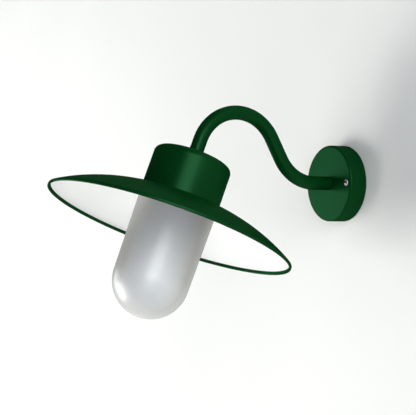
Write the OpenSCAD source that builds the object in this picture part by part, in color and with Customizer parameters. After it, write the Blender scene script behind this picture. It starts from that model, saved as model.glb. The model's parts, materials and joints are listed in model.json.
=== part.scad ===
// Gooseneck wall light. A round rose on the wall carries a bent tube arm, and
// the arm carries a head made of a drawn cap, a wide spun shade with a rolled
// rim, and a frosted glass that screws into a ring over a screw lampholder.
// The origin is the centre of the rose on the wall face. The light stands out
// from the wall along -Y and +Z is up. Lengths are in millimetres.

/* [Wall rose] */
// Outer diameter of the wall rose
rose_d = 100; // [98:1:130]
// Depth of the rose's cup, from its rim to its face
rose_h = 24; // [23:0.5:34]
// Sheet thickness of the rose
rose_wall = 1.5; // [1:0.1:2.5]
// Radius of the rose's front edge
rose_edge_r = 2.5; // [1.5:0.5:6]
// Thickness of the foam gasket between the rose's rim and the wall
gasket_t = 1; // [0.5:0.25:3]

/* [Wall bracket] */
// Thickness of the bracket plate
bracket_t = 2; // [1.5:0.25:3]
// Distance between the two slots for the wall screws
wall_slot_pitch = 60; // [52:1:66]
// Width of each wall slot
wall_slot_w = 5.5; // [4.5:0.5:6.5]
// Length of each wall slot, from end to end
wall_slot_l = 12; // [8:1:16]
// Diameter of the hole that the house wiring comes through
cable_hole_d = 26; // [18:1:28]
// Distance of the rose's two screws from its outer edge
rose_screw_inset = 10; // [9.5:0.5:13]

/* [Arm] */
// Outer diameter of the arm's tube
tube_d = 18; // [16:0.5:22]
// Wall thickness of the arm's tube
tube_wall = 1.5; // [1:0.1:2]
// Straight length of the arm at the rose
foot_len = 24; // [16:1:60]
// Bend radius at the foot of the arm, on the tube's centreline
rise_r = 57; // [40:1:80]
// Angle that the arm climbs at
rise_angle = 61.6; // [45:0.1:75]
// Straight length between the two bends
riser_len = 30; // [5:1:80]
// Bend radius of the arch, on the tube's centreline
arch_r = 57.5; // [45:0.5:80]
// Straight length of the arm above the cap
drop_len = 24; // [16:0.5:60]
// Lean of the head away from the wall, from straight down
head_tilt = 21.6; // [0:0.1:35]

/* [Cap] */
// Outer diameter of the cap
cap_d = 99; // [98:0.5:112]
// Height of the cap above the shade
cap_h = 56; // [56:0.5:75]
// Sheet thickness of the cap
cap_wall = 1.5; // [1:0.1:1.8]
// Radius of the cap's top edge
cap_edge_r = 8; // [3:0.5:11]

/* [Shade] */
// Outer diameter of the shade
shade_d = 313; // [260:1:360]
// Drop of the shade from its seat to the middle of its rolled rim
shade_drop = 38.5; // [20:0.5:60]
// Height of the shade's outward bow above a straight cone
shade_bow = 8; // [3:0.5:12]
// Sheet thickness of the shade
shade_t = 1.2; // [0.8:0.1:1.6]
// Diameter of the shade's rolled rim
bead_d = 4.4; // [3:0.2:6]

/* [Glass] */
// Diameter of the glass at its shoulder
glass_d = 97.6; // [96:0.2:104]
// Diameter of the glass where its round end starts
glass_end_d = 94; // [88:0.5:98]
// Reach of the glass below the cap
glass_reach = 152.5; // [142:0.5:200]
// Wall thickness of the glass
glass_wall = 4; // [3:0.25:5]
// Diameter of the screwed neck of the glass
neck_d = 84; // [80:0.5:85]
// Length of the screwed neck of the glass
neck_len = 14; // [11:0.5:15]

/* [Lamp] */
// Diameter of the bulb
bulb_d = 60; // [50:1:66]
// Length of the bulb from its contact to its end
bulb_len = 108; // [100:1:112]

/* [Hidden] */

// Roundness of the drawn curves
$fn = 96;
// Roundness of the shade's long curves
shade_facets = 720;
// Overrun of every cut past the face that it opens
over = 1;
// Gap around a piece that is held fast in its hole
fit_gap = 0.05;
// Gap around a piece that drops through its hole
pass_gap = 0.25;
// Gap between the glass and the pieces that it turns against
turn_gap = 0.3;
// Gap around the screwed neck of the glass
thread_gap = 0.4;
// Smallest inside corner that a sheet is drawn to
least_r = 0.3;
// How much thinner than its straight lengths a bent rod or tube is in a bend
joint_step = 0.03;
// Depth of each end of a bend inside the straight length that it joins
joint_sink = 0.3;

// Rose, gasket and bracket
rose_r = rose_d / 2;
face_out = gasket_t + rose_h;
inner_face_out = face_out - rose_wall;
gasket_inset = 0.5;
gasket_w = 3;
bracket_gap = 3;
bracket_r = rose_r - rose_wall - bracket_gap;
pillar_x = rose_r - rose_screw_inset;
pillar_af = 8;
spigot_d = 5.8;
rose_screw_d = 4.9;
rose_screw_len = 14;
rose_head_d = 8.7;
rose_head_h = 2.8;
rose_head_rim = 0.6;
rose_key_af = 3;
rose_key_depth = 1.5;
backing_r = 25;
backing_t = 2;

// Threaded nipples, bushes, washers and nuts that hold both ends of the arm
nipple_d = 10;
nipple_bore_d = 7.2;
nipple_grip = 11;
nipple_stickout = 1.2;
bush_len = 12;
lock_washer_d = 16;
lock_washer_t = 0.8;
lock_tooth_w = 1.6;
lock_tooth_len = 1.4;
lock_teeth = 10;
lock_nut_af = 14;
lock_nut_t = 3;
nipple_hole_d = nipple_d + 2 * pass_gap;
tube_bore_r = tube_d / 2 - tube_wall;
wall_washer_out = inner_face_out - backing_t - lock_washer_t;
wall_nut_out = wall_washer_out - lock_nut_t;
wall_nipple_out = wall_nut_out - nipple_stickout;

// Route of the arm: up from the rose, over the arch and down into the cap
arch_angle = rise_angle + 90 - head_tilt;
drop_heading = head_tilt - 90;
rise_end = [foot_len + rise_r * sin(rise_angle), rise_r - rise_r * cos(rise_angle)];
riser_end = rise_end + riser_len * [cos(rise_angle), sin(rise_angle)];
arch_end = riser_end + arch_r * [
    sin(rise_angle) - sin(drop_heading),
    cos(drop_heading) - cos(rise_angle)
];
drop_end = arch_end + drop_len * [cos(drop_heading), sin(drop_heading)];
head_pos = [0, -face_out - drop_end[0], drop_end[1]];

// Levels in the head, measured down its axis from the top of the cap
head_plate_t = 2;
head_plate_r = 36;
head_plate_top = cap_wall;
head_washer_top = head_plate_top + head_plate_t;
head_nut_top = head_washer_top + lock_washer_t;
holder_top = head_nut_top + lock_nut_t;
seat_down = cap_h;
bead_down = seat_down + shade_drop;

// Shade: a flat seat under the cap, then an arc down to the rolled rim
cap_r = cap_d / 2;
seat_margin = 0.5;
seat_r = cap_r + seat_margin;
bead_r = shade_d / 2 - bead_d / 2;
shade_run = bead_r - seat_r;
shade_chord = sqrt(shade_run * shade_run + shade_drop * shade_drop);
shade_arc_r = (shade_chord * shade_chord / 4 + shade_bow * shade_bow) / (2 * shade_bow);
shade_slope = atan2(shade_drop, shade_run);
shade_back = shade_arc_r - shade_bow;
shade_arc_pos = [
    (seat_r + bead_r) / 2 - shade_back * sin(shade_slope),
    seat_down + shade_drop / 2 + shade_back * cos(shade_slope)
];
seat_dx = seat_r - shade_arc_pos[0];
seat_t = sqrt(shade_arc_r ^ 2 - seat_dx ^ 2) - sqrt((shade_arc_r - shade_t) ^ 2 - seat_dx ^ 2);

// Gallery ring: a cup that the glass screws into, with a flange under the shade
neck_r = neck_d / 2;
gallery_bore_r = neck_r + thread_gap;
gallery_wall = 3.6;
gallery_r = gallery_bore_r + gallery_wall;
gallery_floor_t = 2.5;
gallery_flange_t = 2.5;
gallery_flange_w = 2.1;
gallery_mouth_r = 23.5;
shade_gasket_t = 1;
shade_gasket_inset = 0.3;
shade_hole_r = gallery_r + pass_gap;
flange_r = gallery_r + gallery_flange_w;
shade_gasket_top = seat_down + seat_t;
flange_top = shade_gasket_top + shade_gasket_t;
flange_bottom = flange_top + gallery_flange_t;
seal_t = 1.2;
seal_w = 4;
shoulder_down = flange_bottom + seal_t + 2 * turn_gap;
neck_top = shoulder_down - neck_len;
floor_gap = 0.8;
floor_bottom = neck_top - floor_gap;
floor_top = floor_bottom - gallery_floor_t;
head_pillar_ring_r = 31;
head_pillar_af = 7;
head_pillar_tap = 12;
head_pillars_count = 3;
head_pillar_turn = 90;
gallery_screw_d = 3.9;
gallery_screw_len = 12;
gallery_head_d = 7;
gallery_head_h = 2.6;
gallery_head_rim = 0.6;
gallery_key_af = 2.5;
gallery_key_depth = 1.3;

// Glass: a screwed neck, a shoulder, a slightly tapered wall and a round end
glass_r = glass_d / 2;
glass_end_r = glass_end_d / 2;
shoulder_edge_r = 6;
neck_wall = 3.6;
wall_top = shoulder_down + shoulder_edge_r;
glass_end = seat_down + glass_reach;
dome_down = glass_end - glass_end_r;
round_end_run = 5;
round_end_top = dome_down - round_end_run;
taper_run = dome_down - wall_top;
taper_reach = sqrt(glass_r ^ 2 + taper_run ^ 2);
glass_taper = acos(glass_end_r / taper_reach) - atan2(taper_run, glass_r);

// Terminals on the lampholder's insert
terminal_x = 7;
terminal_w = 5;
terminal_h = 5;
terminal_rivet_d = 2.4;
terminal_screw_d = 2.4;
terminal_screw_head_d = 4;
terminal_screw_head_h = 1.6;
terminal_screw_len = 4;
contact_rise = 3.2;
contact_land = 3;

// Lampholder, measured down from the lock nut that it screws up to
hub_len = 6;
hub_r = 8;
hub_rise = 3;
holder_r = 19.5;
holder_cone_len = 14;
holder_insert_h = 10;
holder_insert_r = 17;
holder_ledge = 1.6;
holder_lap = 5;
holder_lip = 2.5;
holder_shell_r = 13.85;
holder_shell_t = 0.4;
holder_shell_len = 23;
hub_end = holder_top + hub_len;
cone_top = holder_top + hub_rise;
cone_end = cone_top + holder_cone_len;
insert_top = cone_end + terminal_h + turn_gap;
insert_bottom = insert_top + holder_insert_h;
lap_end = insert_bottom + holder_lap;
contact_strip_t = 0.5;
contact_strip_w = 5;
shell_top = insert_bottom + contact_strip_t;
shell_bottom = shell_top + holder_shell_len;
skirt_bottom = shell_bottom + holder_lip;
dome_bore_r = holder_insert_r + turn_gap;

// Bulb, measured down from its contact
bulb_top = insert_bottom + contact_strip_t + contact_rise + turn_gap;
bulb_contact_r = 4.8;
bulb_contact_h = 1.2;
insulator_h = 3.5;
insulator_r = 11;
bulb_shell_r = 13.15;
bulb_shell_t = 0.3;
bulb_shell_len = 20;
bulb_crimp_h = 2;
bulb_wall = 1.5;
bulb_neck_h = 3;
board_t = 1.6;
board_drop = 4;
bulb_r = bulb_d / 2;
insulator_top = bulb_top + bulb_contact_h;
bulb_shell_top = insulator_top + insulator_h;
bulb_shell_end = bulb_shell_top + bulb_shell_len;
bulb_cone_top = bulb_shell_end + bulb_neck_h;
bulb_mid = bulb_top + bulb_len - bulb_r;
bulb_run = bulb_mid - bulb_cone_top;
bulb_lean = asin(bulb_r / sqrt(bulb_shell_r ^ 2 + bulb_run ^ 2)) - atan2(bulb_shell_r, bulb_run);
bulb_split = bulb_mid - bulb_r * sin(bulb_lean);

// Terminal block and earth stud on the wall bracket
block_poles = 3;
block_pitch = 10;
block_w = 17;
block_h = 12;
block_margin = 4;
sleeve_d = 5.4;
sleeve_bore_d = 3;
sleeve_len = 14;
sleeve_screw_x = 4;
sleeve_screw_d = 2.6;
sleeve_screw_head_d = 4;
sleeve_screw_head_h = 1.5;
sleeve_screw_sunk = 1.5;
block_screw_d = 2.4;
block_screw_head_d = 4.4;
block_screw_head_h = 1.6;
block_edge = -cable_hole_d / 2 - block_margin;
block_x = block_edge - block_w / 2;
pole_out = bracket_t + block_h / 2;
stud_d = 4;
stud_pos = [22, 22];
stud_out = 12;
lug_t = 0.8;
lug_ring_r = 4;
lug_barrel_d = 3.6;
lug_barrel_len = 7;
lug_neck = 2;
earth_washer_r = 4;
earth_washer_t = 0.8;
earth_nut_af = 7;
earth_nut_t = 3.2;

// Cable and cores
core_run_in = 0.8;
cable_d = 6;
core_d = 2;
core_gap = 0.3;
core_bend_r = 5.5;
core_tuck = 3;
pole_reach = block_w / 2 - sleeve_screw_x + sleeve_screw_d / 2;
earth_core_d = 2.2;
core_x = core_d / 2 + core_gap / 2;
cable_start_out = pole_out + core_bend_r + core_run_in;
cable_stickout = 2;
cable_end_down = hub_end + cable_stickout;

// The wall's frame: +Z out from the wall, +Y up
module wall_frame() {
    rotate([90, 0, 0]) children();
}

// The head's frame: +Z down the axis of the head from the top of the cap
module head_frame() {
    translate(head_pos) rotate([180 - head_tilt, 0, 0]) children();
}

// Ring between two radii, from one level to another
module band(outer_r, inner_r, top, bottom) {
    translate([0, 0, top]) difference() {
        cylinder(r = outer_r, h = bottom - top);
        translate([0, 0, -over]) cylinder(r = inner_r, h = bottom - top + 2 * over);
    }
}

// Straight rods and round bends joined end to end, each step [length, turn, bend radius, bend angle].
// A bend is a hair thinner than the rods and its ends sit a little way inside them.
module route(steps, rod_r, i = 0) {
    if (i < len(steps)) {
        length = steps[i][0];
        turn = steps[i][1];
        bend_r = steps[i][2];
        bend = steps[i][3];
        cylinder(r = rod_r, h = length);
        if (bend > 0) translate([0, 0, length]) rotate([0, 0, turn]) {
            sink = joint_sink / bend_r * 180 / PI;
            translate([0, bend_r, 0]) rotate([90, 0, 0]) rotate([0, -90, 0]) rotate([0, 0, -sink])
                rotate_extrude(angle = bend + 2 * sink) translate([bend_r, 0])
                    circle(r = rod_r - joint_step);
            translate([0, bend_r - bend_r * cos(bend), bend_r * sin(bend)]) rotate([-bend, 0, 0])
                rotate([0, 0, -turn]) route(steps, rod_r, i + 1);
        }
    }
}

// Two equal bends with a short straight between them, which shift a rod sideways over a run
function shift_r(shift, run) = (shift ^ 2 + run ^ 2 - core_run_in ^ 2) / (4 * shift);
function shift_bend(shift, run) =
    atan2(run, 2 * shift_r(shift, run) - shift) - atan2(core_run_in, 2 * shift_r(shift, run));
function shift_steps(before, turn, shift, run, after) = [
    [before, turn, shift_r(shift, run), shift_bend(shift, run)],
    [core_run_in, turn + 180, shift_r(shift, run), shift_bend(shift, run)],
    [after, 0, 0, 0]
];

// Half section of a drawn cup with its closed end at zero
module cup_section(r, h, wall, edge_r) {
    inner_edge_r = max(edge_r - wall, least_r);
    difference() {
        rounded_section(r, h, edge_r);
        translate([0, wall]) rounded_section(r - wall, h, inner_edge_r);
    }
}

// Half section of a solid drum with one rounded edge
module rounded_section(r, h, edge_r) {
    square([r - edge_r, h]);
    translate([0, edge_r]) square([r, h - edge_r]);
    translate([r - edge_r, edge_r]) circle(r = edge_r);
}

// Hexagon nut or pillar body with a bore through it
module hex_nut(af, bore_r, h) {
    difference() {
        cylinder(r = af / 2 / cos(30), h = h, $fn = 6);
        translate([0, 0, -over]) cylinder(r = bore_r, h = h + 2 * over);
    }
}

// Hexagon pillar on a round spigot, bored from its far end
module pillar(af, h, spigot_r, spigot_h, bore_r, bore_depth) {
    difference() {
        union() {
            translate([0, 0, -spigot_h]) cylinder(r = spigot_r, h = spigot_h);
            cylinder(r = af / 2 / cos(30), h = h, $fn = 6);
        }
        translate([0, 0, h - bore_depth]) cylinder(r = bore_r, h = bore_depth + over);
    }
}

// Screw with a domed head above zero, a hexagon socket and a shank below zero
module button_screw(head_d, head_h, rim, shank_d, shank_len, key_af, key_depth) {
    dome_h = head_h - rim;
    dome_r = (head_d * head_d / 4 + dome_h * dome_h) / (2 * dome_h);
    difference() {
        union() {
            rotate_extrude() intersection() {
                square([head_d / 2, head_h]);
                translate([0, head_h - dome_r]) circle(r = dome_r);
            }
            translate([0, 0, -shank_len]) cylinder(r = shank_d / 2, h = shank_len);
        }
        translate([0, 0, head_h - key_depth])
            cylinder(r = key_af / 2 / cos(30), h = key_depth + over, $fn = 6);
    }
}

// Plain cheese-head screw with a slot, its head's underside at zero
module slotted_screw(head_d, head_h, shank_d, shank_len) {
    slot_w = head_d / 5;
    slot_depth = head_h / 2;
    difference() {
        union() {
            cylinder(r = head_d / 2, h = head_h);
            translate([0, 0, -shank_len]) cylinder(r = shank_d / 2, h = shank_len);
        }
        translate([-head_d, -slot_w / 2, head_h - slot_depth])
            cube([2 * head_d, slot_w, slot_depth + over]);
    }
}

// Lock washer with outer teeth
module tooth_washer() {
    difference() {
        union() {
            cylinder(r = lock_washer_d / 2 - lock_tooth_len, h = lock_washer_t);
            for (i = [0 : lock_teeth - 1]) {
                rotate([0, 0, i * 360 / lock_teeth]) translate([0, -lock_tooth_w / 2, 0])
                    cube([lock_washer_d / 2, lock_tooth_w, lock_washer_t]);
            }
        }
        translate([0, 0, -over]) cylinder(r = nipple_hole_d / 2, h = lock_washer_t + 2 * over);
    }
}

// Threaded nipple from one level to another
module nipple(top, bottom) {
    band(nipple_d / 2, nipple_bore_d / 2, top, bottom);
}

// Both rose screws stand on the rose's horizontal centreline
module at_rose_screws() {
    for (side = [-1, 1]) translate([side * pillar_x, 0, 0]) children();
}

// The three pillars stand round the head's axis
module at_head_pillars() {
    for (i = [0 : head_pillars_count - 1]) {
        rotate([0, 0, head_pillar_turn + i * 360 / head_pillars_count])
            translate([head_pillar_ring_r, 0, 0]) children();
    }
}

// Places of the terminal block's poles
module at_poles() {
    for (i = [0 : block_poles - 1]) {
        translate([block_x, (i - (block_poles - 1) / 2) * block_pitch, pole_out]) children();
    }
}

module slot_hole(w, l, h) {
    for (end = [-1, 1]) translate([0, end * (l - w) / 2, 0]) cylinder(r = w / 2, h = h);
    translate([-w / 2, -(l - w) / 2, 0]) cube([w, l - w, h]);
}

module wall_bracket() {
    color("silver") wall_frame() difference() {
        cylinder(r = bracket_r, h = bracket_t);
        translate([0, 0, -over]) {
            cylinder(r = cable_hole_d / 2, h = bracket_t + 2 * over);
            at_rose_screws() cylinder(r = spigot_d / 2 + fit_gap, h = bracket_t + 2 * over);
            for (side = [-1, 1]) {
                translate([0, side * wall_slot_pitch / 2, 0])
                    slot_hole(wall_slot_w, wall_slot_l, bracket_t + 2 * over);
            }
            translate([stud_pos[0], stud_pos[1], 0])
                cylinder(r = stud_d / 2 + fit_gap, h = bracket_t + 2 * over);
            translate([block_x, block_pitch / 2, 0])
                cylinder(r = block_screw_d / 2 + fit_gap, h = bracket_t + 2 * over);
        }
    }
}

module bracket_pillars() {
    color("lightgray") wall_frame() at_rose_screws() translate([0, 0, bracket_t]) {
        pillar(
            pillar_af, inner_face_out - bracket_t, spigot_d / 2, bracket_t,
            rose_screw_d / 2 + fit_gap, rose_screw_len
        );
    }
}

module wall_gasket() {
    color("dimgray") wall_frame()
        band(rose_r - gasket_inset, rose_r - gasket_inset - gasket_w, 0, gasket_t);
}

module wall_rose() {
    color("darkgreen") wall_frame() difference() {
        translate([0, 0, face_out]) mirror([0, 0, 1])
            rotate_extrude() cup_section(rose_r, rose_h, rose_wall, rose_edge_r);
        translate([0, 0, gasket_t]) {
            cylinder(r = nipple_hole_d / 2, h = rose_h + over);
            at_rose_screws() cylinder(r = rose_screw_d / 2 + pass_gap, h = rose_h + over);
        }
    }
}

module rose_backing_plate() {
    color("silver") wall_frame()
        band(backing_r, nipple_hole_d / 2, inner_face_out - backing_t, inner_face_out);
}

module rose_screws() {
    color("gainsboro") wall_frame() at_rose_screws() translate([0, 0, face_out]) {
        button_screw(
            rose_head_d, rose_head_h, rose_head_rim, rose_screw_d,
            rose_screw_len, rose_key_af, rose_key_depth
        );
    }
}

arm_steps = [
    [foot_len, 0, rise_r, rise_angle],
    [riser_len, 180, arch_r, arch_angle],
    [drop_len, 0, 0, 0]
];

module arm_tube() {
    color("darkgreen") wall_frame() translate([0, 0, face_out]) difference() {
        route(arm_steps, tube_d / 2);
        route(arm_steps, tube_bore_r);
    }
}

module wall_end_bush() {
    color("goldenrod") wall_frame()
        band(tube_bore_r - fit_gap, nipple_d / 2 + fit_gap, face_out, face_out + bush_len);
}

module wall_nipple() {
    color("gold") wall_frame() nipple(wall_nipple_out, face_out + nipple_grip);
}

module wall_lock_washer() {
    color("silver") wall_frame() translate([0, 0, wall_washer_out]) tooth_washer();
}

module wall_lock_nut() {
    color("goldenrod") wall_frame() translate([0, 0, wall_nut_out])
        hex_nut(lock_nut_af, nipple_d / 2 + fit_gap, lock_nut_t);
}

module head_end_bush() {
    color("goldenrod") head_frame()
        band(tube_bore_r - fit_gap, nipple_d / 2 + fit_gap, -bush_len, 0);
}

module head_nipple() {
    color("gold") head_frame() nipple(-nipple_grip, hub_end);
}

module head_lock_washer() {
    color("silver") head_frame() translate([0, 0, head_washer_top]) tooth_washer();
}

module head_lock_nut() {
    color("goldenrod") head_frame() translate([0, 0, head_nut_top])
        hex_nut(lock_nut_af, nipple_d / 2 + fit_gap, lock_nut_t);
}

module terminal_block() {
    color("ivory") wall_frame() difference() {
        translate([block_edge - block_w, -block_poles * block_pitch / 2, bracket_t])
            cube([block_w, block_poles * block_pitch, block_h]);
        at_poles() {
            rotate([0, 90, 0]) translate([0, 0, -block_w / 2 - over])
                cylinder(r = sleeve_d / 2 + fit_gap, h = block_w + 2 * over);
            for (side = [-1, 1]) {
                translate([side * sleeve_screw_x, 0, 0])
                    cylinder(r = sleeve_screw_head_d / 2 + fit_gap, h = block_h);
            }
        }
        translate([block_x, block_pitch / 2, 0])
            cylinder(r = block_screw_d / 2 + fit_gap, h = block_h + bracket_t + over);
    }
}

module terminal_sleeves() {
    color("gold") wall_frame() at_poles() difference() {
        rotate([0, 90, 0]) translate([0, 0, -sleeve_len / 2]) cylinder(r = sleeve_d / 2, h = sleeve_len);
        rotate([0, 90, 0]) translate([0, 0, -sleeve_len / 2 - over])
            cylinder(r = sleeve_bore_d / 2, h = sleeve_len + 2 * over);
        for (side = [-1, 1]) {
            translate([side * sleeve_screw_x, 0, 0])
                cylinder(r = sleeve_screw_d / 2 + fit_gap, h = sleeve_d);
        }
    }
}

module terminal_screws() {
    head_under = block_h / 2 - sleeve_screw_sunk - sleeve_screw_head_h;
    color("silver") wall_frame() at_poles() {
        for (side = [-1, 1]) {
            translate([side * sleeve_screw_x, 0, head_under]) slotted_screw(
                sleeve_screw_head_d, sleeve_screw_head_h, sleeve_screw_d,
                head_under - earth_core_d / 2 - fit_gap
            );
        }
    }
}

module terminal_fixing_screw() {
    color("silver") wall_frame() translate([block_x, block_pitch / 2, bracket_t + block_h])
        slotted_screw(block_screw_head_d, block_screw_head_h, block_screw_d, block_h + bracket_t);
}

module earth_stud() {
    color("silver") wall_frame() translate([stud_pos[0], stud_pos[1], 0])
        cylinder(r = stud_d / 2, h = stud_out);
}

// Flat ring on the stud with a barrel towards the terminal block
module earth_lug() {
    barrel_start = -lug_ring_r - lug_neck - lug_barrel_len;
    barrel_mid = lug_barrel_d / 2;
    color("silver") wall_frame() translate([stud_pos[0], stud_pos[1], bracket_t]) difference() {
        union() {
            cylinder(r = lug_ring_r, h = lug_t);
            translate([-lug_ring_r - lug_neck, -barrel_mid, 0])
                cube([lug_ring_r + lug_neck, lug_barrel_d, lug_t]);
            translate([barrel_start, 0, barrel_mid]) rotate([0, 90, 0])
                cylinder(r = barrel_mid, h = lug_barrel_len);
        }
        translate([0, 0, -over]) cylinder(r = stud_d / 2 + fit_gap, h = lug_t + 2 * over);
        translate([barrel_start - over, 0, barrel_mid]) rotate([0, 90, 0])
            cylinder(r = earth_core_d / 2 + fit_gap, h = lug_barrel_len / 2 + over);
    }
}

module earth_washer() {
    color("silver") wall_frame() translate([stud_pos[0], stud_pos[1], 0]) band(
        earth_washer_r, stud_d / 2 + fit_gap, bracket_t + lug_t, bracket_t + lug_t + earth_washer_t
    );
}

module earth_nut() {
    color("silver") wall_frame()
        translate([stud_pos[0], stud_pos[1], bracket_t + lug_t + earth_washer_t])
            hex_nut(earth_nut_af, stud_d / 2 + fit_gap, earth_nut_t);
}

// Lead from the upper pole of the block to the earth lug
module earth_lead() {
    start = [block_edge - pole_reach, block_pitch, pole_out];
    lug_start = stud_pos[0] - lug_ring_r - lug_neck - lug_barrel_len;
    up = stud_pos[1] - start[1];
    back = start[2] - bracket_t - lug_barrel_d / 2;
    before = pole_reach + core_run_in;
    run = lug_start - core_run_in - start[0] - before;
    steps = shift_steps(
        before, -atan2(back, up), sqrt(up * up + back * back), run, core_run_in + lug_barrel_len / 2
    );
    color("gold") wall_frame() translate(start) rotate([0, 90, 0]) route(steps, earth_core_d / 2);
}

// Round cable that lies along the arm's centreline from the rose to the lampholder
module arm_cable() {
    start_len = face_out + foot_len - cable_start_out;
    steps = [
        [start_len, arm_steps[0][1], rise_r, rise_angle],
        arm_steps[1],
        [drop_len + cable_end_down, 0, 0, 0]
    ];
    color("white") wall_frame() translate([0, 0, cable_start_out]) route(steps, cable_d / 2);
}

// One insulated core at the wall: out of the cable, round to the block and into a pole
module wall_core(side, pole) {
    shift = abs(pole * block_pitch - side * core_x);
    run = -block_edge - core_bend_r - core_run_in;
    turn = pole * block_pitch > side * core_x ? 180 : 0;
    steps = concat(
        [[core_run_in, 90, core_bend_r, 90]],
        shift_steps(core_run_in, turn, shift, run, pole_reach)
    );
    wall_frame() translate([0, side * core_x, cable_start_out]) rotate([180, 0, 0])
        route(steps, core_d / 2);
}

// One insulated core at the head: out of the cable and into a terminal
module head_core(side) {
    run = insert_top - terminal_h - cable_end_down - 2 * core_run_in;
    steps = shift_steps(core_run_in, -side * 90, terminal_x - core_x, run, core_run_in + core_tuck);
    head_frame() translate([side * core_x, 0, cable_end_down]) route(steps, core_d / 2);
}

module brown_cores() {
    color("saddlebrown") {
        wall_core(-1, -1);
        head_core(1);
    }
}

module blue_cores() {
    color("royalblue") {
        wall_core(1, 0);
        head_core(-1);
    }
}

module cap() {
    color("darkgreen") head_frame() difference() {
        rotate_extrude() cup_section(cap_r, cap_h, cap_wall, cap_edge_r);
        translate([0, 0, -over]) cylinder(r = nipple_hole_d / 2, h = cap_wall + 2 * over);
    }
}

module head_plate() {
    color("silver") head_frame() translate([0, 0, head_plate_top]) difference() {
        cylinder(r = head_plate_r, h = head_plate_t);
        translate([0, 0, -over]) {
            cylinder(r = nipple_hole_d / 2, h = head_plate_t + 2 * over);
            at_head_pillars() cylinder(r = spigot_d / 2 + fit_gap, h = head_plate_t + 2 * over);
        }
    }
}

module head_pillars() {
    color("lightgray") head_frame() translate([0, 0, head_washer_top]) at_head_pillars() {
        pillar(
            head_pillar_af, floor_top - head_washer_top, spigot_d / 2, head_plate_t,
            gallery_screw_d / 2 + fit_gap, head_pillar_tap
        );
    }
}

module shade() {
    color("darkgreen") head_frame() rotate_extrude() {
        translate([shade_hole_r, seat_down]) square([seat_r - shade_hole_r, seat_t]);
        intersection() {
            translate(shade_arc_pos) difference() {
                circle(r = shade_arc_r, $fn = shade_facets);
                circle(r = shade_arc_r - shade_t, $fn = shade_facets);
            }
            translate([seat_r, seat_down]) square([shade_run, shade_drop + bead_d]);
        }
        translate([bead_r, bead_down]) circle(r = bead_d / 2);
    }
}

module shade_gasket() {
    color("dimgray") head_frame()
        band(flange_r - shade_gasket_inset, shade_hole_r, shade_gasket_top, flange_top);
}

module gallery_ring() {
    color("silver") head_frame() difference() {
        union() {
            translate([0, 0, floor_top]) cylinder(r = gallery_r, h = flange_bottom - floor_top);
            translate([0, 0, flange_top]) cylinder(r = flange_r, h = gallery_flange_t);
        }
        translate([0, 0, floor_bottom]) cylinder(r = gallery_bore_r, h = flange_bottom - floor_bottom + over);
        translate([0, 0, floor_top - over]) {
            cylinder(r = gallery_mouth_r, h = gallery_floor_t + 2 * over);
            at_head_pillars() cylinder(r = gallery_screw_d / 2 + pass_gap, h = gallery_floor_t + 2 * over);
        }
    }
}

module gallery_screws() {
    color("gainsboro") head_frame() translate([0, 0, floor_bottom]) at_head_pillars() {
        button_screw(
            gallery_head_d, gallery_head_h, gallery_head_rim, gallery_screw_d,
            gallery_screw_len, gallery_key_af, gallery_key_depth
        );
    }
}

// Upper half of the lampholder, screwed to the nipple
module holder_dome() {
    inner_cone_r = holder_insert_r - holder_ledge;
    color("dimgray") head_frame() rotate_extrude() polygon([
        [nipple_d / 2 + fit_gap, holder_top],
        [hub_r, holder_top],
        [hub_r, cone_top],
        [holder_r, cone_end],
        [holder_r, lap_end],
        [dome_bore_r, lap_end],
        [dome_bore_r, insert_top],
        [inner_cone_r, insert_top],
        [inner_cone_r, cone_end],
        [hub_r, hub_end],
        [nipple_d / 2 + fit_gap, hub_end]
    ]);
}

// Ceramic insert that carries the terminals and contacts
module holder_insert() {
    color("white") head_frame() translate([0, 0, insert_top]) difference() {
        cylinder(r = holder_insert_r, h = holder_insert_h);
        for (side = [-1, 1]) {
            translate([side * terminal_x, 0, -over])
                cylinder(r = terminal_rivet_d / 2 + fit_gap, h = holder_insert_h + 2 * over);
        }
    }
}

// Brass clamps with their rivets through the insert
module holder_terminals() {
    color("gold") head_frame() for (side = [-1, 1]) {
        translate([side * terminal_x, 0, insert_top - terminal_h]) difference() {
            union() {
                translate([-terminal_w / 2, -terminal_w / 2, 0]) cube([terminal_w, terminal_w, terminal_h]);
                cylinder(r = terminal_rivet_d / 2, h = terminal_h + holder_insert_h);
            }
            translate([0, 0, -over]) cylinder(r = core_d / 2 + fit_gap, h = core_tuck + over);
            translate([0, 0, core_tuck / 2]) rotate([-90, 0, 0])
                cylinder(r = terminal_screw_d / 2 + fit_gap, h = terminal_w);
        }
    }
}

module holder_terminal_screws() {
    reach = terminal_screw_len - core_d / 2 - fit_gap;
    color("silver") head_frame() for (side = [-1, 1]) {
        translate([side * terminal_x, terminal_screw_len, insert_top - terminal_h + core_tuck / 2])
            rotate([-90, 0, 0]) slotted_screw(
                terminal_screw_head_d, terminal_screw_head_h, terminal_screw_d, reach
            );
    }
}

// Sprung strip from one rivet to the middle, standing off the insert
module holder_centre_contact() {
    t = contact_strip_t;
    color("gold") head_frame() translate([0, contact_strip_w / 2, insert_bottom]) rotate([90, 0, 0])
        linear_extrude(contact_strip_w) polygon([
            [terminal_x + contact_land / 2, 0],
            [terminal_x + contact_land / 2, t],
            [terminal_x - contact_land / 2, t],
            [contact_land / 2, t + contact_rise],
            [-contact_land / 2, t + contact_rise],
            [-contact_land / 2, contact_rise],
            [contact_land / 2 - t, contact_rise],
            [terminal_x - contact_land / 2 - t, 0]
        ]);
}

// Strip from the other rivet out to the screw shell
module holder_side_contact() {
    inner_x = terminal_x - contact_land / 2;
    outer_x = holder_shell_r - holder_shell_t / 2;
    color("gold") head_frame() translate([-outer_x, -contact_strip_w / 2, insert_bottom])
        cube([outer_x - inner_x, contact_strip_w, contact_strip_t]);
}

module holder_shell() {
    color("gold") head_frame()
        band(holder_shell_r, holder_shell_r - holder_shell_t, shell_top, shell_bottom);
}

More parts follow.
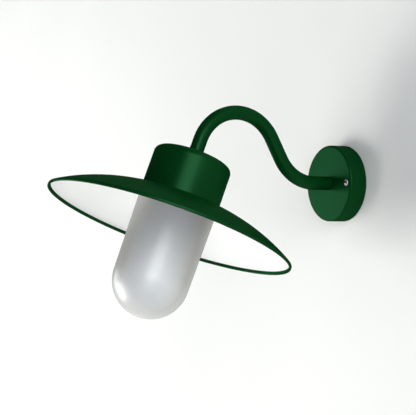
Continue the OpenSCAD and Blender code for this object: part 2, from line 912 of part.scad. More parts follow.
// Lower half of the lampholder
module holder_skirt() {
    bore_r = holder_shell_r + fit_gap;
    lip_r = holder_shell_r - holder_shell_t + fit_gap;
    color("dimgray") head_frame() difference() {
        union() {
            translate([0, 0, insert_bottom]) cylinder(r = dome_bore_r - fit_gap, h = holder_lap);
            translate([0, 0, lap_end]) cylinder(r = holder_r, h = skirt_bottom - lap_end);
        }
        translate([0, 0, insert_bottom - over]) {
            cylinder(r = lip_r, h = skirt_bottom - insert_bottom + 2 * over);
            cylinder(r = bore_r, h = shell_bottom - insert_bottom + over);
        }
    }
}

// Rubber ring that rides down with the glass on its neck
module glass_seal() {
    seal_top = flange_bottom + turn_gap;
    color("dimgray") head_frame()
        band(neck_r + turn_gap + seal_w, neck_r + turn_gap, seal_top, seal_top + seal_t);
}

// Solid half section of the glass, drawn in by the given wall
module glass_section(inset, shoulder, edge_r) {
    end_r = glass_end_r - inset;
    top_r = (end_r + (dome_down - shoulder - edge_r) * sin(glass_taper)) / cos(glass_taper);
    translate([0, shoulder]) square([top_r - edge_r, edge_r]);
    translate([top_r - edge_r, shoulder + edge_r]) circle(r = edge_r);
    polygon([
        [0, shoulder + edge_r],
        [top_r, shoulder + edge_r],
        [end_r * cos(glass_taper), dome_down + end_r * sin(glass_taper)],
        [0, dome_down + end_r * sin(glass_taper)]
    ]);
    intersection() {
        translate([0, dome_down]) circle(r = end_r);
        translate([0, dome_down]) square([end_r, end_r]);
    }
}

// Half section of the whole glass
module glass_outline() {
    difference() {
        union() {
            glass_section(0, shoulder_down, shoulder_edge_r);
            translate([0, neck_top]) square([neck_r, neck_len + shoulder_edge_r]);
        }
        glass_section(glass_wall, shoulder_down + glass_wall, shoulder_edge_r - glass_wall / 2);
        translate([0, neck_top - over]) square([neck_r - neck_wall, neck_len + 2 * shoulder_edge_r]);
    }
}

// Half section of the space that holds the neck and shoulder
module glass_top_zone() {
    translate([0, neck_top - over]) square([glass_r + over, wall_top - neck_top + over]);
}

// Half section of the space that holds the round end and a short run of the wall
module glass_end_zone() {
    translate([0, round_end_top]) square([glass_r + over, glass_end - round_end_top + over]);
}

module glass_neck() {
    color("lightgray", 0.6) head_frame() rotate_extrude() intersection() {
        glass_outline();
        glass_top_zone();
    }
}

module glass() {
    color("lightgray", 0.6) head_frame() rotate_extrude() difference() {
        glass_outline();
        glass_top_zone();
        glass_end_zone();
    }
}

module glass_round_end() {
    color("lightgray", 0.6) head_frame() rotate_extrude() intersection() {
        glass_outline();
        glass_end_zone();
    }
}

module bulb_contact() {
    color("silver") head_frame() translate([0, 0, bulb_top]) cylinder(r = bulb_contact_r, h = bulb_contact_h);
}

module bulb_insulator() {
    color("black") head_frame() translate([0, 0, insulator_top])
        cylinder(r1 = bulb_contact_r, r2 = insulator_r, h = insulator_h);
}

module bulb_screw_shell() {
    inner_r = bulb_shell_r - bulb_shell_t;
    color("silver") head_frame() rotate_extrude() polygon([
        [0, bulb_shell_top],
        [insulator_r, bulb_shell_top],
        [bulb_shell_r, bulb_shell_top + bulb_crimp_h],
        [bulb_shell_r, bulb_shell_end],
        [inner_r, bulb_shell_end],
        [inner_r, bulb_shell_top + bulb_crimp_h],
        [insulator_r - bulb_shell_t, bulb_shell_top + bulb_shell_t],
        [0, bulb_shell_top + bulb_shell_t]
    ]);
}

// Half section of the bulb's skin, drawn in by the given wall
module bulb_section(inset) {
    r = bulb_r - inset;
    neck_r = bulb_shell_r - inset;
    polygon([
        [0, bulb_shell_end],
        [neck_r, bulb_shell_end],
        [neck_r, bulb_cone_top],
        [r * cos(bulb_lean), bulb_mid - r * sin(bulb_lean)],
        [0, bulb_mid - r * sin(bulb_lean)]
    ]);
    intersection() {
        translate([0, bulb_mid]) circle(r = r);
        translate([0, bulb_split]) square([r, bulb_mid + r - bulb_split]);
    }
}

module bulb_housing() {
    collar_r = bulb_shell_r - bulb_shell_t - fit_gap;
    collar_len = bulb_shell_len / 2;
    color("white") head_frame() rotate_extrude() {
        difference() {
            bulb_section(0);
            bulb_section(bulb_wall);
            translate([0, bulb_split]) square([bulb_d, bulb_d]);
        }
        translate([collar_r - bulb_wall, bulb_shell_end - collar_len]) square([bulb_wall, collar_len]);
    }
}

// Round board with the light chips, held in the mouth of the housing
module bulb_board() {
    inner_r = bulb_shell_r - bulb_wall;
    cone_end_r = (bulb_r - bulb_wall) * cos(bulb_lean);
    cone_len = bulb_mid - (bulb_r - bulb_wall) * sin(bulb_lean) - bulb_cone_top;
    top = bulb_split - board_drop;
    top_r = inner_r + (cone_end_r - inner_r) * (top - bulb_cone_top) / cone_len;
    color("whitesmoke") head_frame() translate([0, 0, top]) cylinder(r = top_r - fit_gap, h = board_t);
}

module bulb_diffuser() {
    color("white") head_frame() rotate_extrude() difference() {
        bulb_section(0);
        bulb_section(bulb_wall);
        translate([0, bulb_shell_end - over]) square([bulb_d, bulb_split - bulb_shell_end + over]);
    }
}

wall_bracket();
bracket_pillars();
wall_gasket();
wall_rose();
rose_backing_plate();
rose_screws();
arm_tube();
wall_end_bush();
wall_nipple();
wall_lock_washer();
wall_lock_nut();
head_end_bush();
head_nipple();
head_lock_washer();
head_lock_nut();
terminal_block();
terminal_sleeves();
terminal_screws();
terminal_fixing_screw();
earth_stud();
earth_lug();
earth_washer();
earth_nut();
earth_lead();
arm_cable();
brown_cores();
blue_cores();
cap();
head_plate();
head_pillars();
shade();
shade_gasket();
gallery_ring();
gallery_screws();
holder_dome();
holder_insert();
holder_terminals();
holder_terminal_screws();
holder_centre_contact();
holder_side_contact();
holder_shell();
holder_skirt();
glass_seal();
glass_neck();
glass();
glass_round_end();
bulb_contact();
bulb_insulator();
bulb_screw_shell();
bulb_housing();
bulb_board();
bulb_diffuser();
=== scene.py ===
"""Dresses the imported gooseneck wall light: finer pieces, materials, wall, lamps and camera."""

import json
import math

import bmesh
import bpy
import numpy as np
from mathutils import Matrix, Vector


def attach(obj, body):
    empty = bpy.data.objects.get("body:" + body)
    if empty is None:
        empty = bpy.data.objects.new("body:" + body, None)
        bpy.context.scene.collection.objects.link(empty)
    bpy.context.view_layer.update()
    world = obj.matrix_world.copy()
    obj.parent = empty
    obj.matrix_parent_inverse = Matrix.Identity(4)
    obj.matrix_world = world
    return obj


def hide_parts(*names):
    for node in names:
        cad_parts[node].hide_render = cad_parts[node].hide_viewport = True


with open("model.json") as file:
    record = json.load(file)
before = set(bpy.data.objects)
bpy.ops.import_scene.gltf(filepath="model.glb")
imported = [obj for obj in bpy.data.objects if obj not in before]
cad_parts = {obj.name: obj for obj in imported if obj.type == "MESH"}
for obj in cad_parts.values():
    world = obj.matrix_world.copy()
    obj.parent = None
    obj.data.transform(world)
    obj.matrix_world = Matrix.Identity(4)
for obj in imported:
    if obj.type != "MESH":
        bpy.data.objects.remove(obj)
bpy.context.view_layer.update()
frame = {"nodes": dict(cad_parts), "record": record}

MM = 0.001
TURN = 2 * math.pi
SHARP_DEGREES = 35
WELD = 1e-6
TONE_DETAIL, GRAIN_DETAIL, WAVE_DETAIL = 4.0, 3.0, 1.0

# Sizes in millimetres, as in the model's source or worked out there
FACE_OUT = 25.0
TUBE_R, TUBE_WALL = 9.0, 1.5
FOOT_LEN, RISE_R, RISE_ANGLE = 24.0, 57.0, 61.6
RISER_LEN, ARCH_R, DROP_LEN, HEAD_TILT = 30.0, 57.5, 24.0, 21.6
SEAT_DOWN, SHADE_DROP, SHADE_T = 56.0, 38.5, 1.2
SHADE_HOLE_R, SEAT_R, SHADE_R = 46.25, 50.0, 156.5
SCREW_X = 40.0

# Sizes in millimetres of the shade's edge, a turned-down lip where the source has a round bead
SKIN_BOW, RIM_BAND = 6.9, 0.4
LIP_BACK, LIP_T, LIP_UP, LIP_DOWN, LIP_EDGE_R = 0.15, 3.0, 1.95, 1.8, 1.4
LIP_START_SHARE = 0.45

# Sizes in millimetres of the painted shade that darkens a screw's socket, and levels down the head between
# which the glass's painted shade changes
SOCKET_R, SOCKET_FADE = 1.5, 0.4
GLASS_PAINTED_SHADE_TOP, GLASS_PAINTED_SHADE_END = 70.0, 205.0


# Route of the arm in the wall's frame
def arm_route():
    """Points (out, up) and headings along the arm's centreline, in millimetres and radians."""
    straight_step, bend_step = 6.0, 2.0
    points, headings = [], []
    out, up, heading = FACE_OUT, 0.0, 0.0

    def straight(length):
        nonlocal out, up
        count = max(2, round(length / straight_step))
        for i in range(count):
            t = length * i / count
            points.append((out + t * math.cos(heading), up + t * math.sin(heading)))
            headings.append(heading)
        out, up = out + length * math.cos(heading), up + length * math.sin(heading)

    def bend(radius, angle):
        nonlocal out, up, heading
        count = max(8, round(abs(angle) * radius / bend_step))
        side = 1 if angle > 0 else -1
        centre = (out - side * radius * math.sin(heading), up + side * radius * math.cos(heading))
        for i in range(count):
            h = heading + angle * i / count
            points.append((centre[0] + side * radius * math.sin(h), centre[1] - side * radius * math.cos(h)))
            headings.append(h)
        heading += angle
        out, up = centre[0] + side * radius * math.sin(heading), centre[1] - side * radius * math.cos(heading)

    straight(FOOT_LEN)
    bend(RISE_R, math.radians(RISE_ANGLE))
    straight(RISER_LEN)
    bend(ARCH_R, -math.radians(RISE_ANGLE + 90 - HEAD_TILT))
    straight(DROP_LEN)
    points.append((out, up))
    headings.append(heading)
    return points, headings


ARM_POINTS, ARM_HEADINGS = arm_route()
HEAD_POS = Vector((0, -ARM_POINTS[-1][0], ARM_POINTS[-1][1])) * MM
HEAD = Matrix.Translation(HEAD_POS) @ Matrix.Rotation(math.radians(180 - HEAD_TILT), 4, "X")


# Meshes
def make_mesh(name, points, faces, materials, face_materials=None, place=None):
    """Object from points in millimetres, smooth except at edges sharper than SHARP_DEGREES."""
    mesh = bpy.data.meshes.new(name)
    mesh.from_pydata([tuple(p) for p in np.asarray(points, float) * MM], [], faces)
    if place is not None:
        mesh.transform(place)
    for material in materials:
        mesh.materials.append(material)
    if face_materials is not None:
        mesh.polygons.foreach_set("material_index", face_materials)
    mesh.polygons.foreach_set("use_smooth", [True] * len(mesh.polygons))
    mesh.set_sharp_from_angle(angle=math.radians(SHARP_DEGREES))
    mesh.update()
    obj = bpy.data.objects.new(name, mesh)
    bpy.context.scene.collection.objects.link(obj)
    return obj


def ring_faces(rings, sides):
    """Faces between rings of points, each ring closed and the last one joined to the first."""
    faces = []
    for i in range(rings):
        j = (i + 1) % rings
        for k in range(sides):
            n = (k + 1) % sides
            faces.append((i * sides + k, i * sides + n, j * sides + n, j * sides + k))
    return faces


def spin(name, profile, place, materials, part_materials, sides):
    """Solid of revolution from a closed outline of (radius, level) points.

    part_materials gives each span of the outline its material."""
    turns = np.arange(sides) * TURN / sides
    points = np.empty((len(profile), sides, 3))
    for i, (radius, level) in enumerate(profile):
        points[i, :, 0] = radius * np.cos(turns)
        points[i, :, 1] = radius * np.sin(turns)
        points[i, :, 2] = level
    face_materials = [index for index in part_materials for _ in range(sides)]
    obj = make_mesh(name, points.reshape(-1, 3), ring_faces(len(profile), sides), materials, face_materials,
                    place)
    clean(obj)
    return obj


def clean(obj):
    """Welds points that coincide and turns the faces outwards."""
    bm = bmesh.new()
    bm.from_mesh(obj.data)
    bmesh.ops.remove_doubles(bm, verts=bm.verts, dist=WELD)
    bmesh.ops.recalc_face_normals(bm, faces=bm.faces)
    bm.to_mesh(obj.data)
    bm.free()


def arc(centre, radius, start, end, count):
    """Points of an arc, angles in degrees from the radius direction towards growing levels."""
    angles = np.radians(np.linspace(start, end, count))
    return [(centre[0] + radius * math.cos(a), centre[1] + radius * math.sin(a)) for a in angles]


def finish_piece(obj, body, slot, *nodes):
    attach(obj, body)
    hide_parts(*nodes)


# Materials
def new_material(name):
    material = bpy.data.materials.new(name)
    material.use_nodes = True
    tree = material.node_tree
    tree.nodes.clear()
    output = tree.nodes.new("ShaderNodeOutputMaterial")
    return material, tree, output


def noise(tree, scale, detail, stretch=(1, 1, 1)):
    """Noise over the object's own coordinates, in metres."""
    coords = tree.nodes.new("ShaderNodeTexCoord")
    mapping = tree.nodes.new("ShaderNodeMapping")
    mapping.inputs["Scale"].default_value = stretch
    texture = tree.nodes.new("ShaderNodeTexNoise")
    texture.inputs["Scale"].default_value = scale
    texture.inputs["Detail"].default_value = detail
    texture.inputs["Roughness"].default_value = 0.5
    tree.links.new(coords.outputs["Object"], mapping.inputs["Vector"])
    tree.links.new(mapping.outputs["Vector"], texture.inputs["Vector"])
    return texture.outputs["Fac"]


def ramp(tree, value, low, high, at=(0.3, 0.7)):
    """Value spread between two colours or numbers."""
    if isinstance(low, (int, float)):
        node = tree.nodes.new("ShaderNodeMapRange")
        node.inputs["From Min"].default_value, node.inputs["From Max"].default_value = at
        node.inputs["To Min"].default_value, node.inputs["To Max"].default_value = low, high
        tree.links.new(value, node.inputs["Value"])
        return node.outputs["Result"]
    node = tree.nodes.new("ShaderNodeValToRGB")
    for element, place, colour in zip(node.color_ramp.elements, at, (low, high)):
        element.position = place
        element.color = (*colour, 1)
    tree.links.new(value, node.inputs["Fac"])
    return node.outputs["Color"]


def stops(tree, value, *pairs):
    """Colours spread between three or more places of the value, given as (place, colour) pairs."""
    node = tree.nodes.new("ShaderNodeValToRGB")
    for place, colour in pairs[1:-1]:
        node.color_ramp.elements.new(place)
    for element, (place, colour) in zip(node.color_ramp.elements, pairs):
        element.position = place
        element.color = (*colour, 1)
    tree.links.new(value, node.inputs["Fac"])
    return node.outputs["Color"]


def bump(tree, height, distance, normal=None):
    node = tree.nodes.new("ShaderNodeBump")
    node.inputs["Distance"].default_value = distance
    node.inputs["Strength"].default_value = 1.0
    tree.links.new(height, node.inputs["Height"])
    if normal is not None:
        tree.links.new(normal, node.inputs["Normal"])
    return node.outputs["Normal"]


def surface(name, low, high, rough, metallic=0.0, tone_scale=60, grain_scale=700, grain=0.00002,
            stretch=(1, 1, 1), waviness=0.0):
    """Principled material whose colour, roughness and bump all vary over the surface."""
    material, tree, output = new_material(name)
    shader = tree.nodes.new("ShaderNodeBsdfPrincipled")
    tone = noise(tree, tone_scale, TONE_DETAIL)
    fine = noise(tree, grain_scale, GRAIN_DETAIL, stretch)
    tree.links.new(ramp(tree, tone, low, high), shader.inputs["Base Color"])
    tree.links.new(ramp(tree, fine, rough[0], rough[1]), shader.inputs["Roughness"])
    normal = bump(tree, fine, grain)
    if waviness:
        waves_per_grain = 1 / 8
        waves = noise(tree, grain_scale * waves_per_grain, WAVE_DETAIL)
        normal = bump(tree, waves, waviness, normal=normal)
    tree.links.new(normal, shader.inputs["Normal"])
    shader.inputs["Metallic"].default_value = metallic
    tree.links.new(shader.outputs["BSDF"], output.inputs["Surface"])
    return material


def paint(name, low, high, gloss_tint, gloss_share, rough):
    """Powder coat: a matt body under a thin gloss of nearly the same strength at every angle."""
    material, tree, output = new_material(name)
    body = tree.nodes.new("ShaderNodeBsdfPrincipled")
    gloss = tree.nodes.new("ShaderNodeBsdfPrincipled")
    tone_scale, grain_scale, wave_scale = 25, 900, 110
    grain, waviness = 0.000012, 0.00003
    tone = noise(tree, tone_scale, TONE_DETAIL)
    fine = noise(tree, grain_scale, GRAIN_DETAIL)
    normal = bump(tree, fine, grain)
    normal = bump(tree, noise(tree, wave_scale, WAVE_DETAIL), waviness, normal=normal)
    tree.links.new(ramp(tree, tone, low, high), body.inputs["Base Color"])
    body.inputs["Specular IOR Level"].default_value = 0.0
    gloss.inputs["Metallic"].default_value = 1.0
    gloss.inputs["Base Color"].default_value = (*gloss_tint, 1)
    for shader in (body, gloss):
        tree.links.new(ramp(tree, fine, *rough), shader.inputs["Roughness"])
        tree.links.new(normal, shader.inputs["Normal"])
    mix = tree.nodes.new("ShaderNodeMixShader")
    mix.inputs["Fac"].default_value = gloss_share
    tree.links.new(body.outputs["BSDF"], mix.inputs[1])
    tree.links.new(gloss.outputs["BSDF"], mix.inputs[2])
    tree.links.new(mix.outputs["Shader"], output.inputs["Surface"])
    return material


green = paint("green_powder_coat", (0.0003, 0.027, 0.0038), (0.0006, 0.031, 0.0048), (0.22, 1.0, 0.42), 0.020,
              (0.30, 0.36))
enamel = surface("white_enamel", (0.89, 0.89, 0.88), (0.92, 0.92, 0.91), (0.30, 0.40), tone_scale=20,
                 grain_scale=700, grain=0.00001, waviness=0.00002)
zinc = surface("zinc_plate", (0.50, 0.52, 0.55), (0.66, 0.67, 0.68), (0.28, 0.50), 1.0, 120, 500, 0.000015)
stainless = surface("stainless", (0.58, 0.57, 0.56), (0.70, 0.69, 0.68), (0.18, 0.36), 1.0, 300, 2500,
                    0.00001, stretch=(1, 0.2, 1))
brass = surface("brass", (0.62, 0.42, 0.14), (0.78, 0.58, 0.24), (0.22, 0.42), 1.0, 90, 900, 0.000012)
nickel = surface("nickel", (0.60, 0.57, 0.52), (0.72, 0.69, 0.64), (0.20, 0.36), 1.0, 90, 900, 0.00001)
aluminium = surface("cast_aluminium", (0.52, 0.53, 0.54), (0.68, 0.69, 0.70), (0.42, 0.62), 1.0, 150,
                    650, 0.00006)
rubber = surface("black_rubber", (0.012, 0.012, 0.012), (0.028, 0.028, 0.027), (0.62, 0.80), 0.0, 200,
                 1500, 0.00004)
black = surface("black_plastic", (0.010, 0.010, 0.011), (0.018, 0.018, 0.019), (0.20, 0.34), 0.0, 60,
                900, 0.00001)
ivory = surface("ivory_plastic", (0.72, 0.69, 0.58), (0.80, 0.77, 0.66), (0.40, 0.55), 0.0, 80, 1200,
                0.00002)
porcelain = surface("porcelain", (0.78, 0.76, 0.70), (0.86, 0.84, 0.79), (0.12, 0.24), 0.0, 60, 400,
                    0.00002)
cable = surface("white_cable", (0.70, 0.70, 0.68), (0.80, 0.80, 0.78), (0.45, 0.60), 0.0, 60, 1500, 0.00002)
brown = surface("brown_insulation", (0.10, 0.038, 0.016), (0.15, 0.060, 0.026), (0.40, 0.55), 0.0, 60,
                1500, 0.00001)
blue = surface("blue_insulation", (0.016, 0.07, 0.34), (0.026, 0.11, 0.44), (0.40, 0.55), 0.0, 60,
               1500, 0.00001)
earth = surface("earth_insulation", (0.16, 0.36, 0.02), (0.62, 0.62, 0.03), (0.40, 0.55), 0.0, 500,
                1500, 0.00001)
white = surface("white_plastic", (0.76, 0.76, 0.75), (0.84, 0.84, 0.83), (0.26, 0.38), 0.0, 60, 900,
                0.00001)
opal = surface("opal_plastic", (0.84, 0.84, 0.82), (0.90, 0.90, 0.88), (0.42, 0.55), 0.0, 60, 1200, 0.00001)


def along_head(tree, start, end):
    """Share of the way down the head's axis between two levels, from the object's own coordinates."""
    coords = tree.nodes.new("ShaderNodeTexCoord")
    dot = tree.nodes.new("ShaderNodeVectorMath")
    dot.operation = "DOT_PRODUCT"
    down = HEAD.to_3x3() @ Vector((0, 0, 1))
    dot.inputs[1].default_value = down
    tree.links.new(coords.outputs["Object"], dot.inputs[0])
    base = down.dot(HEAD_POS)
    return ramp(tree, dot.outputs["Value"], 0.0, 1.0, (base + start * MM, base + end * MM))


def times(tree, a, b):
    mixed = tree.nodes.new("ShaderNodeMix")
    mixed.data_type = "RGBA"
    mixed.blend_type = "MULTIPLY"
    mixed.inputs["Factor"].default_value = 1.0
    tree.links.new(a, mixed.inputs["A"])
    tree.links.new(b, mixed.inputs["B"])
    return mixed.outputs["Result"]


def frosted(name):
    """Etched glass: satin, cloudy and a little clear where seen edge on, with painted shade in its colour:
    darker up towards the shade and where seen edge on, paler towards its round end.
    """
    material, tree, output = new_material(name)
    shader = tree.nodes.new("ShaderNodeBsdfPrincipled")
    edge = tree.nodes.new("ShaderNodeLayerWeight")
    edge.inputs["Blend"].default_value = 0.5
    cloud_scale, grain_scale, grain = 14, 1800, 0.000008
    cloud = noise(tree, cloud_scale, GRAIN_DETAIL)
    fine = noise(tree, grain_scale, GRAIN_DETAIL)
    tone = ramp(tree, cloud, (0.94, 0.94, 0.94), (1.0, 1.0, 1.0))
    depth = along_head(tree, GLASS_PAINTED_SHADE_TOP, GLASS_PAINTED_SHADE_END)
    # Painted shade: the glass's colour darkens up the head towards the shade and pales towards the round end
    painted_shade_body = stops(tree, depth, (0.0, (0.245, 0.25, 0.26)), (0.35, (0.405, 0.425, 0.440)),
                   (0.70, (0.63, 0.650, 0.660)), (1.0, (0.66, 0.68, 0.69)))
    # Painted shade at the edges: the colour seen edge on, darkest towards the top and paler towards the round
    # end
    painted_shade_rims = stops(tree, depth, (0.0, (0.26, 0.255, 0.24)), (0.60, (0.33, 0.325, 0.305)),
                 (1.0, (0.60, 0.60, 0.59)))
    body = times(tree, painted_shade_body, tone)
    mixed = tree.nodes.new("ShaderNodeMix")
    mixed.data_type = "RGBA"
    tree.links.new(ramp(tree, edge.outputs["Facing"], 0.0, 1.0, (0.0, 0.45)), mixed.inputs["Factor"])
    tree.links.new(body, mixed.inputs["A"])
    tree.links.new(painted_shade_rims, mixed.inputs["B"])
    tree.links.new(mixed.outputs["Result"], shader.inputs["Base Color"])
    tree.links.new(ramp(tree, fine, 0.34, 0.40), shader.inputs["Roughness"])
    tree.links.new(bump(tree, fine, grain), shader.inputs["Normal"])
    shader.inputs["IOR"].default_value = 1.5
    shader.inputs["Specular IOR Level"].default_value = 1.0
    clear = tree.nodes.new("ShaderNodeBsdfTransparent")
    clear.inputs["Color"].default_value = (0.80, 0.79, 0.77, 1)
    mix = tree.nodes.new("ShaderNodeMixShader")
    share = ramp(tree, edge.outputs["Facing"], 0.0, 0.25, (0.75, 0.95))
    tree.links.new(share, mix.inputs["Fac"])
    tree.links.new(shader.outputs["BSDF"], mix.inputs[1])
    tree.links.new(clear.outputs["BSDF"], mix.inputs[2])
    tree.links.new(mix.outputs["Shader"], output.inputs["Surface"])
    return material


glass_skin = frosted("frosted_glass")


def screw_steel_with_socket_shade():
    """Stainless steel, with painted shade darkening the sockets of the rose's two screws."""
    material = surface("stainless_screws_socket_shade", (0.66, 0.65, 0.64), (0.76, 0.75, 0.74), (0.18, 0.32), 1.0, 300,
                       2500, 0.00001)
    tree = material.node_tree
    shader = next(node for node in tree.nodes if node.type == "BSDF_PRINCIPLED")
    steel = shader.inputs["Base Color"].links[0].from_socket
    coords = tree.nodes.new("ShaderNodeTexCoord")
    place = coords.outputs["Object"]
    from_screw_axis = (("ABSOLUTE", None), ("SUBTRACT", (SCREW_X * MM, 0, 0)), ("MULTIPLY", (1, 0, 1)))
    for operation, vector in from_screw_axis:
        step = tree.nodes.new("ShaderNodeVectorMath")
        step.operation = operation
        tree.links.new(place, step.inputs[0])
        if vector:
            step.inputs[1].default_value = vector
        place = step.outputs["Vector"]
    length = tree.nodes.new("ShaderNodeVectorMath")
    length.operation = "LENGTH"
    tree.links.new(place, length.inputs[0])
    # Painted shade: a dark spot down in each screw's socket
    socket_shade_mask = ramp(tree, length.outputs["Value"], 0.0, 1.0, (SOCKET_R * MM, (SOCKET_R + SOCKET_FADE) * MM))
    mix = tree.nodes.new("ShaderNodeMix")
    mix.data_type = "RGBA"
    tree.links.new(socket_shade_mask, mix.inputs["Factor"])
    mix.inputs["A"].default_value = (0.10, 0.06, 0.06, 1)
    tree.links.new(steel, mix.inputs["B"])
    tree.links.new(mix.outputs["Result"], shader.inputs["Base Color"])
    return material


SLOT_MATERIALS = {
    "green_enamel": green, "zinc_steel": zinc, "stainless_steel": stainless, "brass": brass,
    "black_rubber": rubber, "cast_aluminium": aluminium, "black_plastic": black, "ivory_plastic": ivory,
    "porcelain": porcelain, "white_cable": cable, "brown_insulation": brown, "blue_insulation": blue,
    "earth_insulation": earth, "frosted_glass": glass_skin, "nickel": nickel, "white_plastic": white,
    "opal_plastic": opal,
}
for part in frame["record"]["subparts"]:
    node = frame["nodes"][part["node"]]
    node.data.materials.clear()
    node.data.materials.append(SLOT_MATERIALS[part["material_slot"]])
frame["nodes"]["rose_screws"].data.materials[0] = screw_steel_with_socket_shade()


# Arm: one smooth tube along the route, with its bore
def tube(name, outer, inner, sides, material):
    turns = np.arange(sides) * TURN / sides
    rings = []
    for radius in (outer, inner):
        across, lift = radius * np.cos(turns), radius * np.sin(turns)
        for (out, up), heading in zip(ARM_POINTS, ARM_HEADINGS):
            ring = [across, -(out - lift * math.sin(heading)), up + lift * math.cos(heading)]
            rings.append(np.stack(ring, 1))
    count = len(ARM_POINTS)
    order = [*range(count), *range(2 * count - 1, count - 1, -1)]
    points = np.concatenate([rings[i] for i in order])
    obj = make_mesh(name, points, ring_faces(2 * count, sides), [material])
    clean(obj)
    return obj


ARM_SIDES = 96
arm = tube("arm_tube_skin", TUBE_R, TUBE_R - TUBE_WALL, ARM_SIDES, green)
finish_piece(arm, "fixture", "green_enamel", "arm_tube")


# Shade: spun sheet with a round-edged lip at its edge, green above and round the lip, white below
def shade_profile():
    """Closed outline of (radius, level) points, with each span's material: 0 for paint, 1 for enamel."""
    skin_points, edge_points, lip_points, band_points = 60, 10, 16, 3
    edge_x = SHADE_R - LIP_BACK
    rim_s = SEAT_DOWN + SHADE_DROP
    end = (edge_x - LIP_EDGE_R * LIP_START_SHARE, rim_s - LIP_UP)
    run, drop = end[0] - SEAT_R, end[1] - SEAT_DOWN
    chord = math.hypot(run, drop)
    big_r = (chord ** 2 / 4 + SKIN_BOW ** 2) / (2 * SKIN_BOW)
    slope = math.atan2(drop, run)
    back = big_r - SKIN_BOW
    centre = (SEAT_R + run / 2 - back * math.sin(slope), SEAT_DOWN + drop / 2 + back * math.cos(slope))

    def angle_at(radius, x):
        return math.degrees(-math.acos((x - centre[0]) / radius))

    under_r = big_r - SHADE_T
    lip_r = LIP_T / 2
    lip_angle = angle_at(big_r, end[0])
    inner_x = edge_x - LIP_T
    top = arc(centre, big_r, angle_at(big_r, SEAT_R), lip_angle, skin_points)
    edge_s = end[1] - LIP_EDGE_R * math.sin(math.radians(lip_angle))
    edge = arc((edge_x - LIP_EDGE_R, edge_s), LIP_EDGE_R, lip_angle, 0, edge_points)[1:]
    lip = arc((edge_x - lip_r, rim_s + LIP_DOWN - lip_r), lip_r, 0, 180, lip_points)
    band_end = angle_at(under_r, inner_x - RIM_BAND)
    band = arc(centre, under_r, angle_at(under_r, inner_x), band_end, band_points)
    under = arc(centre, under_r, band_end, angle_at(under_r, SEAT_R), skin_points)[1:]
    hole = [(SHADE_HOLE_R, under[-1][1]), (SHADE_HOLE_R, SEAT_DOWN)]
    outline = top + edge + lip + band + under + hole
    green_spans = len(top) + len(edge) + len(lip) + len(band) - 1
    parts = [0] * green_spans + [1] * (len(under) + 1) + [0, 0]
    return outline, parts


outline, parts = shade_profile()
SHADE_SIDES = 360
shade = spin("shade_skin", outline, HEAD, [green, enamel], parts, SHADE_SIDES)
finish_piece(shade, "fixture", "green_enamel", "shade")


# Backdrop: a wall with a hole behind the rose, and a floor far below, one sheet seen from its front only
def backdrop():
    material, tree, output = new_material("backdrop")
    plaster = tree.nodes.new("ShaderNodeBsdfDiffuse")
    tone = ramp(tree, noise(tree, 3, 2.0), (0.866, 0.866, 0.838), (0.886, 0.886, 0.858))
    tree.links.new(tone, plaster.inputs["Color"])
    clear = tree.nodes.new("ShaderNodeBsdfTransparent")
    back = tree.nodes.new("ShaderNodeNewGeometry")
    mix = tree.nodes.new("ShaderNodeMixShader")
    tree.links.new(back.outputs["Backfacing"], mix.inputs["Fac"])
    tree.links.new(plaster.outputs["BSDF"], mix.inputs[1])
    tree.links.new(clear.outputs["BSDF"], mix.inputs[2])
    tree.links.new(mix.outputs["Shader"], output.inputs["Surface"])
    gap, reach, height, floor, front, turn = 0.6, 5000.0, 4000.0, -2200.0, -4000.0, 600.0
    hole_r, hole_sides, bend_points = 47.0, 64, 13
    bend = [(gap - turn + turn * math.cos(a), floor + turn - turn * math.sin(a))
            for a in np.linspace(0, math.pi / 2, bend_points)]
    points, faces = [], []

    def strip(y0, z0, y1, z1):
        start = len(points)
        points.extend([(-reach, y0, z0), (reach, y0, z0), (reach, y1, z1), (-reach, y1, z1)])
        faces.append((start, start + 1, start + 2, start + 3))

    for (y0, z0), (y1, z1) in zip(bend, bend[1:]):
        strip(y1, z1, y0, z0)
    strip(front, floor, bend[-1][0], floor)
    low = floor + turn
    start = len(points)
    square = [(reach, low), (reach, height), (-reach, height), (-reach, low)]
    ring = [(hole_r * math.cos(a), hole_r * math.sin(a)) for a in np.arange(hole_sides) * TURN / hole_sides]
    points.extend([(x, gap, z) for x, z in square + ring])
    quarter = hole_sides // 4
    first = start + len(square)
    for k in range(hole_sides):
        n = (k + 1) % hole_sides
        corner = start + (k // quarter + 1) % 4
        faces.append((first + k, first + n, corner))
        if n % quarter == 0:
            faces.append((first + n, start + (k // quarter + 2) % 4, corner))
    sheet = make_mesh("backdrop", points, faces, [material])
    for polygon in sheet.data.polygons:
        towards = Vector((0, -1, 0)) if polygon.normal.y ** 2 > 0.5 else Vector((0, 0, 1))
        if polygon.normal.dot(towards) < 0:
            polygon.flip()


backdrop()


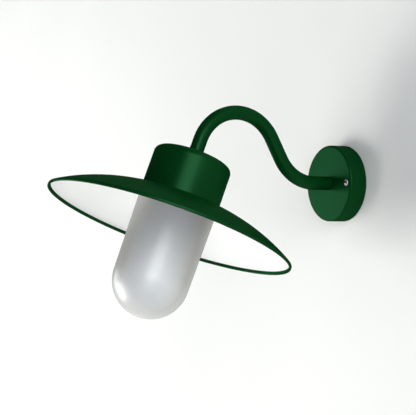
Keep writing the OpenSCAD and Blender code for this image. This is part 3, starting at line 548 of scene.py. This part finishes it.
# World and lamps
world = bpy.data.worlds.new("studio")
bpy.context.scene.world = world
world.use_nodes = True
tree = world.node_tree
tree.nodes.clear()
world_out = tree.nodes.new("ShaderNodeOutputWorld")
ambient = tree.nodes.new("ShaderNodeBackground")
ambient.inputs["Color"].default_value = (0.86, 0.97, 1.14, 1)
ambient.inputs["Strength"].default_value = 0.14
tree.links.new(ambient.outputs["Background"], world_out.inputs["Surface"])


def lamp(name, place, target, width, height, power, colour):
    """Lamp of a size in metres and a power in watts, turned towards its target and hidden from the camera."""
    light = bpy.data.lights.new(name, "AREA")
    light.shape = "RECTANGLE"
    light.size, light.size_y = width, height
    light.energy = power
    light.color = colour
    obj = bpy.data.objects.new(name, light)
    bpy.context.scene.collection.objects.link(obj)
    obj.location = place
    obj.rotation_mode = "QUATERNION"
    obj.rotation_quaternion = (Vector(target) - Vector(place)).to_track_quat("-Z", "Y")
    obj.visible_camera = False


lamp("low_left", (-1.80, -2.20, -1.12), (0, -0.2, -0.02), 1.5, 1.4, 63, (1.0, 0.99, 0.96))
lamp("near_camera", (2.60, -1.15, 0.85), (0, -0.2, 0), 1.9, 1.5, 48, (0.985, 0.99, 0.995))
lamp("low_right", (2.45, -1.90, -0.90), (0, -0.2, 0), 1.5, 1.5, 14, (0.94, 0.98, 1.07))
lamp("left_fill", (-2.60, -1.75, -0.15), (0, -0.1, 0), 1.2, 1.2, 19, (0.97, 0.99, 1.0))


# Camera, as the photograph was taken
AZIMUTH, ELEVATION = math.radians(60.67), math.radians(-1.26)
CAMERA_PLACE = (1.28260, -0.92723, -0.06603)
LENS_MM, SENSOR_MM = 102.612, 36
NEAR, FAR = 0.05, 50
camera = bpy.data.objects.new("camera", bpy.data.cameras.new("camera"))
bpy.context.scene.collection.objects.link(camera)
level = math.cos(ELEVATION)
back = Vector((math.sin(AZIMUTH) * level, -math.cos(AZIMUTH) * level, math.sin(ELEVATION)))
camera.location = CAMERA_PLACE
camera.rotation_mode = "QUATERNION"
camera.rotation_quaternion = (-back).to_track_quat("-Z", "Y")
camera.data.sensor_width = SENSOR_MM
camera.data.lens = LENS_MM
camera.data.clip_start, camera.data.clip_end = NEAR, FAR
bpy.context.scene.camera = camera

bpy.context.scene.view_settings.view_transform = "Standard"
